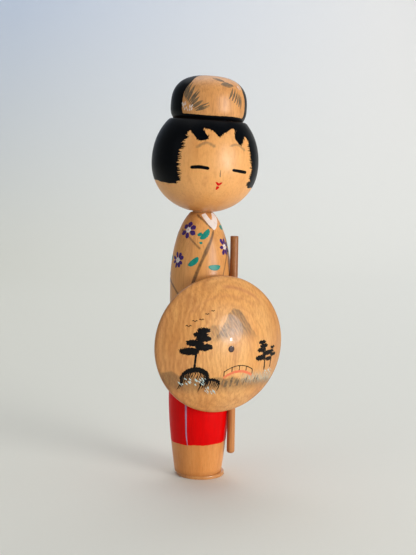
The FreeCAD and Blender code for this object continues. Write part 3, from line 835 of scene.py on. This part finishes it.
SPRAYS = [  # first and last stem place, first and last leaf direction, leaf length, number of leaves, width
    ((-58, 67), (-36, 59), (84, 24), 9.0, 12, 1.3),
    ((14, 67), (38, 62), (52, 84), 8.5, 6, 1.3),
    ((12, 77), (28, 75), (175, 190), 7.5, 3, 2.0),
]
bamboo = Layer("bamboo_leaves", GREY, "head")
for first, last, (from_turn, to_turn), length, count, width in SPRAYS:
    for n in range(count):
        t = n / (count - 1)
        u, z = first[0] + t * (last[0] - first[0]) + FACE_TURN, first[1] + t * (last[1] - first[1])
        a = math.radians(from_turn + t * (to_turn - from_turn) + rng.uniform(-9, 9))
        k = float(BUN.scale(u, BUN.along(z)))
        size, wide = length * rng.uniform(0.75, 1.1), width * rng.uniform(0.7, 1.2)
        for hair in (-2, -1, 0, 1, 2):
            off, jig = hair * 0.2 * wide, rng.uniform(-0.35, 0.35)
            blade = []
            for share, side, breadth in ((0, 0.4, 0.1), (0.5, 1.0, 0.27 * wide + 0.1), (1, 0.25, 0.1)):
                out, aside = share * size, side * off
                blade.append((u + (out * math.cos(a) - aside * math.sin(a)) / k,
                              z + out * math.sin(a) + aside * math.cos(a) + jig * share, breadth))
            bamboo.stroke(BUN, blade, lift=0.05)
bamboo.done()
# white dabs on the bun; the small group at the upper right is a painted highlight
dabs_and_highlight = Layer("bun_dabs_and_highlight", WHITE, "head")
for u, z, tall, wide, count in ((-62.5, 62.6, 3.6, 1.6, 9), (-54, 60.4, 3.0, 2.6, 14),
                                (37, 74.4, 1.8, 2.0, 5)):
    for _ in range(count):
        du, dz = rng.uniform(-1, 1) * wide / 0.39, rng.uniform(-0.5, 0.5) * tall
        at_u, at_z = u + du + FACE_TURN, z + dz
        dab = [(at_u + 6, at_z + 0.7, 0.12), (at_u + 5.6, at_z, 0.42), (at_u + 5, at_z - 0.8, 0.12)]
        dabs_and_highlight.stroke(BUN, dab, lift=0.05)
dabs_and_highlight.done()


# -------- hat

tangent = math.atan2(RIM_ROUND - DOME_LOW, RIM_AT)      # where the dome runs into the rim's round
reach = RIM_AT + RIM_ROUND * math.cos(tangent)
hat_profile = [(r, math.sqrt(DOME_R ** 2 - r * r) + DOME_LOW) for r in np.linspace(BORE_R, reach, 92)]
for t in np.linspace(tangent, -math.pi / 2, 15)[1:]:
    hat_profile.append((RIM_AT + RIM_ROUND * math.cos(t), RIM_ROUND + RIM_ROUND * math.sin(t)))
hat_profile += [(37.4, 0.0)]
for r in np.linspace(HOLLOW_EDGE, BOSS_R, 24):
    hat_profile.append((r, math.sqrt(HOLLOW_R ** 2 - r * r) + HOLLOW_LOW))
hat_profile += [(BOSS_R, BOSS_STEP), (BOSS_R, BOSS_FACE + 0.1), (BOSS_R - 0.1, BOSS_FACE),
                (BORE_R + 0.1, BOSS_FACE), (BORE_R, BOSS_STEP)]


def lathe_to_hat(p):
    """The lathe turns round its third axis; on the hat that axis points forward."""
    return on_hat(np.stack([p[..., 0], -p[..., 1], p[..., 2]], -1))


local, verts, faces = lathe(hat_profile, 340, lathe_to_hat, closed=True)
px, py = local[:, 0], -local[:, 1]
front = (local[:, 2] > np.sqrt(np.maximum(DOME_R ** 2 - px ** 2 - py ** 2, 0)) + DOME_LOW - 0.3).astype(float)


def hill(middle, base, width, height, mist, seed):
    """A rounded hill in thin ink, dark along its ridge and lost in mist towards its foot."""
    ridge = base + height * np.exp(-((px - middle) / width) ** 2) + 0.5 * ripple(px, py * 0, 5.0, seed)
    return smoothstep((ridge - py) / 1.2 + 0.5) * smoothstep((py - base + 1) / mist)


streaks = 0.7 + 0.3 * ripple(px + 0.5 * py, py * 0.15, 1.6, 5)
bank = -17 - 0.12 * px + 1.2 * ripple(px, py * 0, 14.0, 6)
shore = smoothstep((bank - py) / 1.5) * smoothstep((py + 29) / 8)
ink = np.clip(hill(4, 4, 10, 19, 9, 3) * 1.1 * streaks + hill(-9, 4, 9, 10, 6, 4) * 0.7 * streaks
              + shore * 0.85 * (0.6 + 0.4 * streaks), 0, 1)
frost = smoothstep((px - 4) / 10) * np.exp(-((py + 17 + 0.1 * px) / 3.0) ** 2) * smoothstep((36 - px) / 6)
frost = frost * np.clip(0.55 + 0.75 * ripple(px, py, 2.0, 10), 0.12, 1)
radial = np.hypot(px + 0.6, py - 0.4)
blush = 0.75 * np.exp(-((radial - 34.4) / 0.9) ** 2) * smoothstep((py - 20) / 10) * smoothstep((px + 4) / 6)
blush += 0.30 * np.exp(-((radial - 29.5) / 0.7) ** 2) * smoothstep((py - 12) / 10)
# painted shade on the hat: darker over the rim's round, over the flanks (less towards the top, kept lighter
# as painted light), towards the right side, and over the whole back and hollow. The thin dark rings at 37 and
# 24 mm and those near the middle are turning rings in the wood.
painted_shade = smoothstep((np.hypot(px, py) - RIM_AT) / RIM_ROUND) * 0.7
painted_shade += 0.25 * np.exp(-((radial - 37.0) / 0.5) ** 2) + 0.16 * np.exp(-((radial - 24.0) / 0.5) ** 2)
painted_shade += 0.40 * smoothstep((np.hypot(px, py) - 18) / 22) * (1 - 0.75 * smoothstep((py - 8) / 22)) * front
painted_shade += 0.30 * smoothstep((px - 20) / 18) * front
painted_shade += 0.45 * (1 - front)
for ring, left_only in ((8.6, 0.3), (11.2, 1.0), (13.4, 0.7), (17.0, 0.6)):
    painted_shade += 0.22 * left_only * np.exp(-((radial - ring) / 0.35) ** 2) * smoothstep((6 - px) / 10)
oval = np.hypot((px - 5) / 0.8, (py + 3) / 1.35) + 1.5 * ripple(px, py, 18.0, 12)
oval += 0.25 * ripple(px * 2, py * 0.3, 4.0, 13)
# wood grain streaks, made stronger towards the left flank, so that they also darken that side as painted
# shade
grain_and_painted_shade = (0.5 + 0.5 * np.sin(oval * 2 * math.pi / 3.4)) ** 2 * (0.35 + 0.65 * smoothstep((4 - px) / 24))
grain_and_painted_shade += 0.5 * smoothstep((-14 - px) / 16) * smoothstep(0.5 + 0.6 * ripple(px * 2, py * 0.25, 7.0, 14))
build("doll_hat", verts, faces, HAT_WOOD, "hat",
      {"ink": ink * front, "frost": frost * front, "blush": blush * front,
       "painted_shade": np.clip(painted_shade, 0, 1), "grain_and_painted_shade": np.clip(grain_and_painted_shade, 0, 1) * front}, ("hat",))

# The hat's picture is drawn anew, by functions. Its kinds of motif and rough layout follow the photograph's.
# There is no writing on it.
black = Layer("hat_ink", INK, "hat", "black_paint")


def pine(x, y, tall, lean, pads):
    """A leaning trunk with flat clouds of needles, smaller towards the top."""
    tip = (x + lean, y + tall)
    black.stroke(HAT, [(x, y, 0.05 * tall), (x + 0.2 * lean, y + 0.5 * tall, 0.045 * tall), (*tip, 0.2)],
                 wobble=0.2)
    for n in range(pads):
        up = 0.45 + 0.55 * n / (pads - 1)
        side = (1 if n % 2 else -1) * (1 - up) * 0.34 * tall
        cx, cy, wide = x + lean * up * up + side, y + tall * up, tall * (0.30 - 0.13 * up)
        cloud = [(cx + wide * math.cos(t),
                  cy + wide * 0.36 * math.sin(t) + (0.12 * wide if math.sin(t) > 0 else 0))
                 for t in np.linspace(0, 2 * math.pi, 11)[:-1]]
        black.patch(HAT, cloud, wobble=0.45, seed=abs(int(10 * x)) + n)
        black.stroke(HAT, [(x + lean * up * up * 0.8, cy - 0.1 * tall, 0.3), (cx, cy, 0.5)], wobble=0.2)


def rock(x, y, wide, high, hairs):
    """A boulder in dry brush: a dark crest and hairlines that run down from it."""
    crest = [(x + wide * math.cos(t), y + high * math.sin(t)) for t in np.linspace(0, math.pi, 7)]
    under = [(x - 0.7 * wide, y + 0.25 * high), (x, y + 0.55 * high), (x + 0.7 * wide, y + 0.25 * high)]
    black.patch(HAT, crest + under, wobble=0.4, seed=abs(int(x)) + 200)
    for n in range(hairs):
        t = math.pi * (n + rng.uniform(0.1, 0.9)) / hairs
        top_x, top_y = x + 0.95 * wide * math.cos(t), y + 0.85 * high * math.sin(t)
        drop = high * rng.uniform(0.7, 1.5)
        black.stroke(HAT, [(top_x, top_y, 0.4), (top_x * 0.98 - 0.3, top_y - 0.5 * drop, 0.34),
                           (top_x - 0.8, top_y - drop, 0.1)], step=0.4, wobble=0.25)


rock(-20, -17, 8, 7, 34)
rock(-11, -21, 6, 4, 22)
pine(-21, -11, 22, 5, 6)
pine(25, -15, 17, -3, 5)
pine(30, -14, 12, 1, 4)

# the footbridge: an arched deck with posts under a handrail
BRIDGE_MIDDLE, BRIDGE_HALF, BRIDGE_FOOT, BRIDGE_RISE, DECK = 6.0, 9.5, -16.0, 3.2, 1.8


def arch(x, above=0.0):
    return BRIDGE_FOOT + above + BRIDGE_RISE * (1 - ((x - BRIDGE_MIDDLE) / BRIDGE_HALF) ** 2)


spans = np.linspace(BRIDGE_MIDDLE - BRIDGE_HALF, BRIDGE_MIDDLE + BRIDGE_HALF, 9)
black.stroke(HAT, [(x, arch(x, 2.6), 0.45) for x in spans], wobble=0.2)
for x in spans[::2]:
    black.stroke(HAT, [(x, arch(x, 2.8), 0.5), (x + 0.1, arch(x, -0.2), 0.4)], wobble=0.2)

# birds in a loose line
for n in range(5):
    x, y, span = -24 + 3.6 * n, 13 + 2.2 * n + rng.uniform(-0.8, 0.8), 2.2 - 0.2 * n
    for side in (-1, 1):
        black.stroke(HAT, [(x, y, 0.25), (x + side * span * 0.4, y + span * 0.34, 0.42),
                           (x + side * span * 0.8, y + span * 0.16, 0.1)], step=0.2)
black.done()

reeds = Layer("hat_reeds", GREY, "hat")
for _ in range(16):
    x, y = rng.uniform(-5, 22), rng.uniform(-24, -21)
    tall = rng.uniform(3, 5.5)
    reeds.stroke(HAT, [(x + 0.5, y + tall, 0.12), (x, y + tall / 2, 0.6), (x - 0.2, y, 0.3)],
                 wobble=0.3, lift=0.05)
reeds.done()

deck = Layer("hat_bridge", CORAL, "hat")
deck.patch(HAT, [(x, arch(x)) for x in spans] + [(x, arch(x, -DECK)) for x in spans[::-1]],
           wobble=0.2, seed=70, lift=0.045, smooth=False)
deck.done()

snow = Layer("hat_snow", FROST, "hat")
for left, right, low, high, count, wide in ((-28, -14, -21, -17, 26, 0.5), (-14, -6, -27, -22, 12, 0.4),
                                            (22, 32, -18, -15, 10, 0.3)):
    for _ in range(count):
        x, y = rng.uniform(left, right), rng.uniform(low, high)
        run = rng.uniform(0.7, 1.7)
        snow.stroke(HAT, [(x - run / 2, y + run * 0.5, 0.12), (x, y, wide * rng.uniform(0.6, 1.3)),
                          (x + run / 2, y - run * 0.5, 0.12)], wobble=0.3, lift=0.09)
snow.done()


# -------- carried-over CAD nodes

def dress(node, material):
    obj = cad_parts[node]
    obj.data.materials.clear()
    obj.data.materials.append(material)


dress("neck_dowel", BARE_WOOD)
dress("bun_dowel", BARE_WOOD)
dress("hat_peg", DOT)


# -------- studio

def paper_with_painted_light():
    f = Finish("studio_paper")
    # painted light: the paper is paler towards the right, and on the left it turns blue-grey up the wall
    gradient = f.node("ShaderNodeSeparateXYZ", {0: f.place})
    across = f.spread(gradient.outputs[0], -0.45, 0.45)
    up = f.spread(gradient.outputs[2], 0.0, 0.55)
    left = f.blend(up, colour(226, 226, 215), colour(204, 216, 234))
    right = f.blend(up, colour(246, 246, 240), colour(246, 246, 246))
    tone = f.blend(across, left, right)
    tone = f.blend(f.spread(f.spots(2.0, (1, 1, 1), 3.0), 0.3, 0.7, 0, 0.03), tone, colour(200, 196, 190))
    return f.surface(tone, 0.9, f.relief(f.spots(0.8, (1, 1, 1), 2.0), 0.05, 0.05), level=0.2)


# a paper sweep: distance away and height, in metres, with a round of SWEEP_ROUND between floor and wall
SWEEP_ROUND = 0.9
sweep = [(-2.2, 0.0)]
for t in np.linspace(0, math.pi / 2, 24):
    sweep.append((1.1 + SWEEP_ROUND * math.sin(t), SWEEP_ROUND - SWEEP_ROUND * math.cos(t)))
sweep.append((2.0, 3.0))
verts, faces = [], []
for n, (away, up) in enumerate(sweep):
    for side in (-2.6, 2.6):
        verts.append((side, away, up))
    if n:
        faces.append((2 * n - 2, 2 * n - 1, 2 * n + 1, 2 * n))
mesh = bpy.data.meshes.new("studio_sweep")
mesh.from_pydata(verts, [], faces)
mesh.shade_smooth()
mesh.materials.append(paper_with_painted_light())
stage = bpy.data.objects.new("studio_sweep", mesh)
stage.rotation_euler.z = -AROUND
bpy.context.scene.collection.objects.link(stage)


def toward(degrees, rise, distance, height=0.12):
    """A place seen from the doll: degrees to the right of the front, degrees up."""
    a, e = math.radians(degrees), math.radians(rise)
    return Vector((distance * math.cos(e) * math.sin(a), -distance * math.cos(e) * math.cos(a),
                   height + distance * math.sin(e)))


def panel(name, place, aim, size_x, size_y, power, tint=(1, 1, 1)):
    data = bpy.data.lights.new(name, "AREA")
    data.shape = "RECTANGLE"
    data.size, data.size_y, data.energy, data.color = size_x, size_y, power, tint
    lamp = bpy.data.objects.new(name, data)
    lamp.location = place
    lamp.rotation_euler = (Vector(aim) - place).to_track_quat("-Z", "Y").to_euler()
    bpy.context.scene.collection.objects.link(lamp)
    return lamp


key = panel("key", toward(25, 9, 1.5), (0, 0, 0.13), 0.8, 0.9, 15.5, (1.0, 0.985, 0.96))
key.data.shape = "ELLIPSE"
spark = panel("spark", toward(24, 0, 1.5, 0.086), (0, -0.04, 0.09), 0.05, 0.05, 2.6)
spark.data.shape = "DISK"
panel("fill", toward(-75, 20, 2.0), (0, 0, 0.12), 1.4, 1.4, 3.2)
panel("overhead", Vector((0.2, 0.5, 1.7)), (0.1, 0.2, 0.0), 1.8, 1.8, 12)
panel("wall", toward(150, 50, 2.2), (0.6, 2.0, 0.6), 1.6, 1.6, 8)

world = bpy.data.worlds.new("studio")
world.use_nodes = True
world.node_tree.nodes["Background"].inputs["Color"].default_value = (0.95, 0.97, 1.0, 1)
world.node_tree.nodes["Background"].inputs["Strength"].default_value = 0.24
bpy.context.scene.world = world
bpy.context.scene.view_settings.view_transform = "Standard"

# -------- camera

DISTANCE, EYE_HEIGHT = 0.632, 0.1925
DOWN, ROLL, ASIDE = math.radians(6.4), math.radians(0.9), math.radians(0.4)
data = bpy.data.cameras.new("camera")
data.sensor_width = 36
data.lens = 68.11
data.clip_start, data.clip_end = 0.05, 20
camera = bpy.data.objects.new("camera", data)
heading = AROUND + ASIDE
ahead = Vector((math.sin(heading) * math.cos(DOWN), math.cos(heading) * math.cos(DOWN), -math.sin(DOWN)))
level = Vector((math.cos(heading), -math.sin(heading), 0))
upward = level.cross(ahead)
right = math.cos(ROLL) * level + math.sin(ROLL) * upward
upward = math.cos(ROLL) * upward - math.sin(ROLL) * level
turn = Matrix((right, upward, -ahead)).transposed().to_4x4()
eye = Matrix.Translation((-DISTANCE * math.sin(AROUND), -DISTANCE * math.cos(AROUND), EYE_HEIGHT))
camera.matrix_world = eye @ turn
bpy.context.scene.collection.objects.link(camera)
bpy.context.scene.camera = camera
